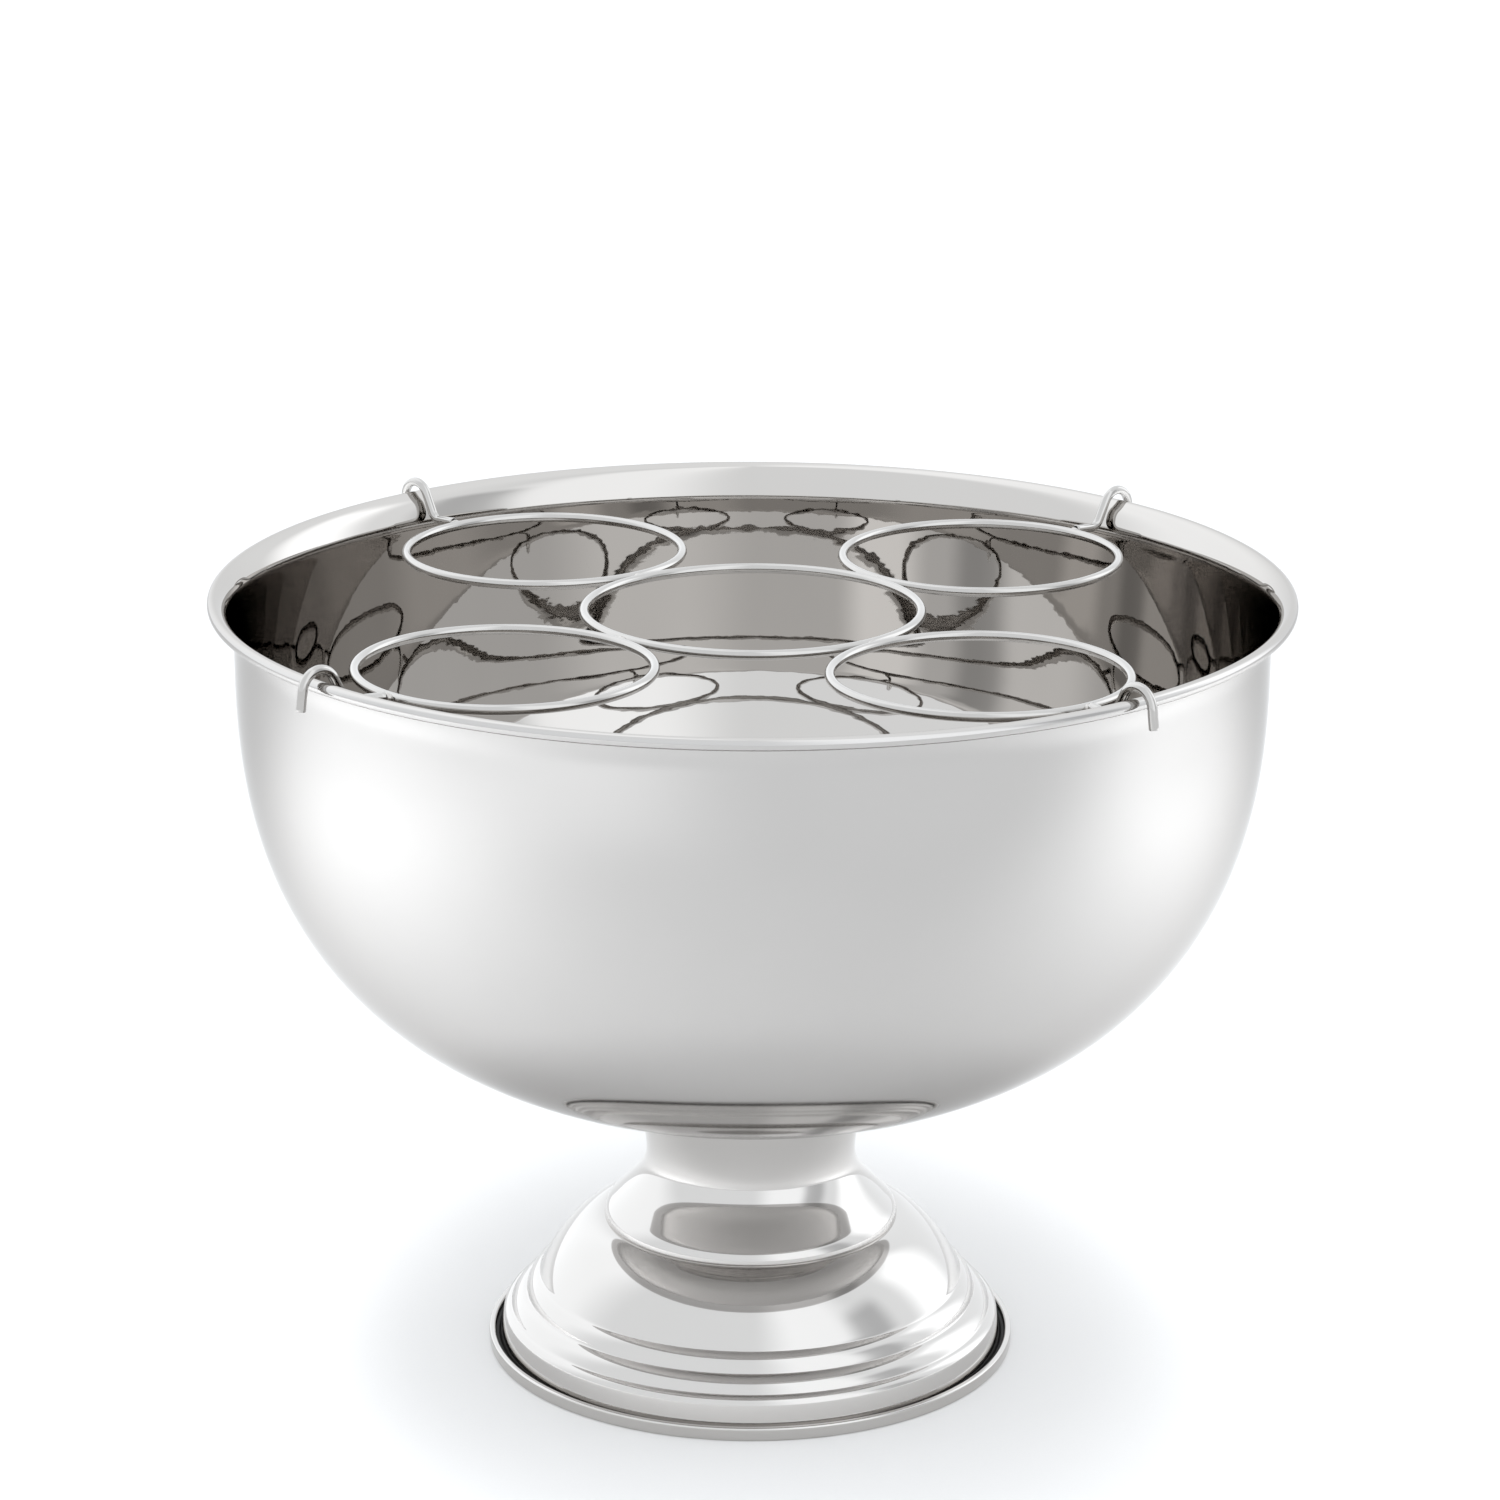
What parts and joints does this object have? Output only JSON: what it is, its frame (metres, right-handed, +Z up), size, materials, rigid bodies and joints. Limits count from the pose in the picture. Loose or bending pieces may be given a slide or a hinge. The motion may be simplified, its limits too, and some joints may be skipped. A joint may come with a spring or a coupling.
{
  "type": "punch bowl",
  "caption": "Footed stainless steel punch and champagne bowl with a lift-out wire bottle rack hung from its curled rim.",
  "frame": {"origin": "centre of the foot, on the surface it stands on", "axes": "+Z up along the bowl's axis; the bottle rack's corner rings lie on the diagonals, with the front two towards -Y"},
  "size_m": [0.41, 0.41, 0.3109],
  "materials": {
    "polished_steel": "mirror polished",
    "brushed_steel": "finely spun, satin outside",
    "wire_steel": "polished wire",
    "weld_steel": "ground and polished weld",
    "black_rubber": "matt",
    "zinc": "zinc plated"
  },
  "bodies": {
    "bowl": {"bowl_shell": "brushed_steel", "neck_knop": "polished_steel", "foot_dome": "polished_steel", "base_pan": "polished_steel", "seal_ring": "black_rubber", "foot_pad": "black_rubber", "bowl_stud": "zinc", "fixing_washer": "zinc", "fixing_nut": "zinc"},
    "bottle_rack": {"ring_centre": "wire_steel", "ring_rear_left": "wire_steel", "ring_rear_right": "wire_steel", "ring_front_left": "wire_steel", "ring_front_right": "wire_steel", "hook_rear_left": "wire_steel", "hook_rear_right": "wire_steel", "hook_front_left": "wire_steel", "hook_front_right": "wire_steel", "ring_welds": "weld_steel", "hook_welds": "weld_steel"}
  },
  "joints": [
    {"name": "rack_lift", "type": "slide", "parent": "bowl", "child": "bottle_rack", "axis": [0, 0, 1], "range_m": [0, 0.08]}
  ]
}
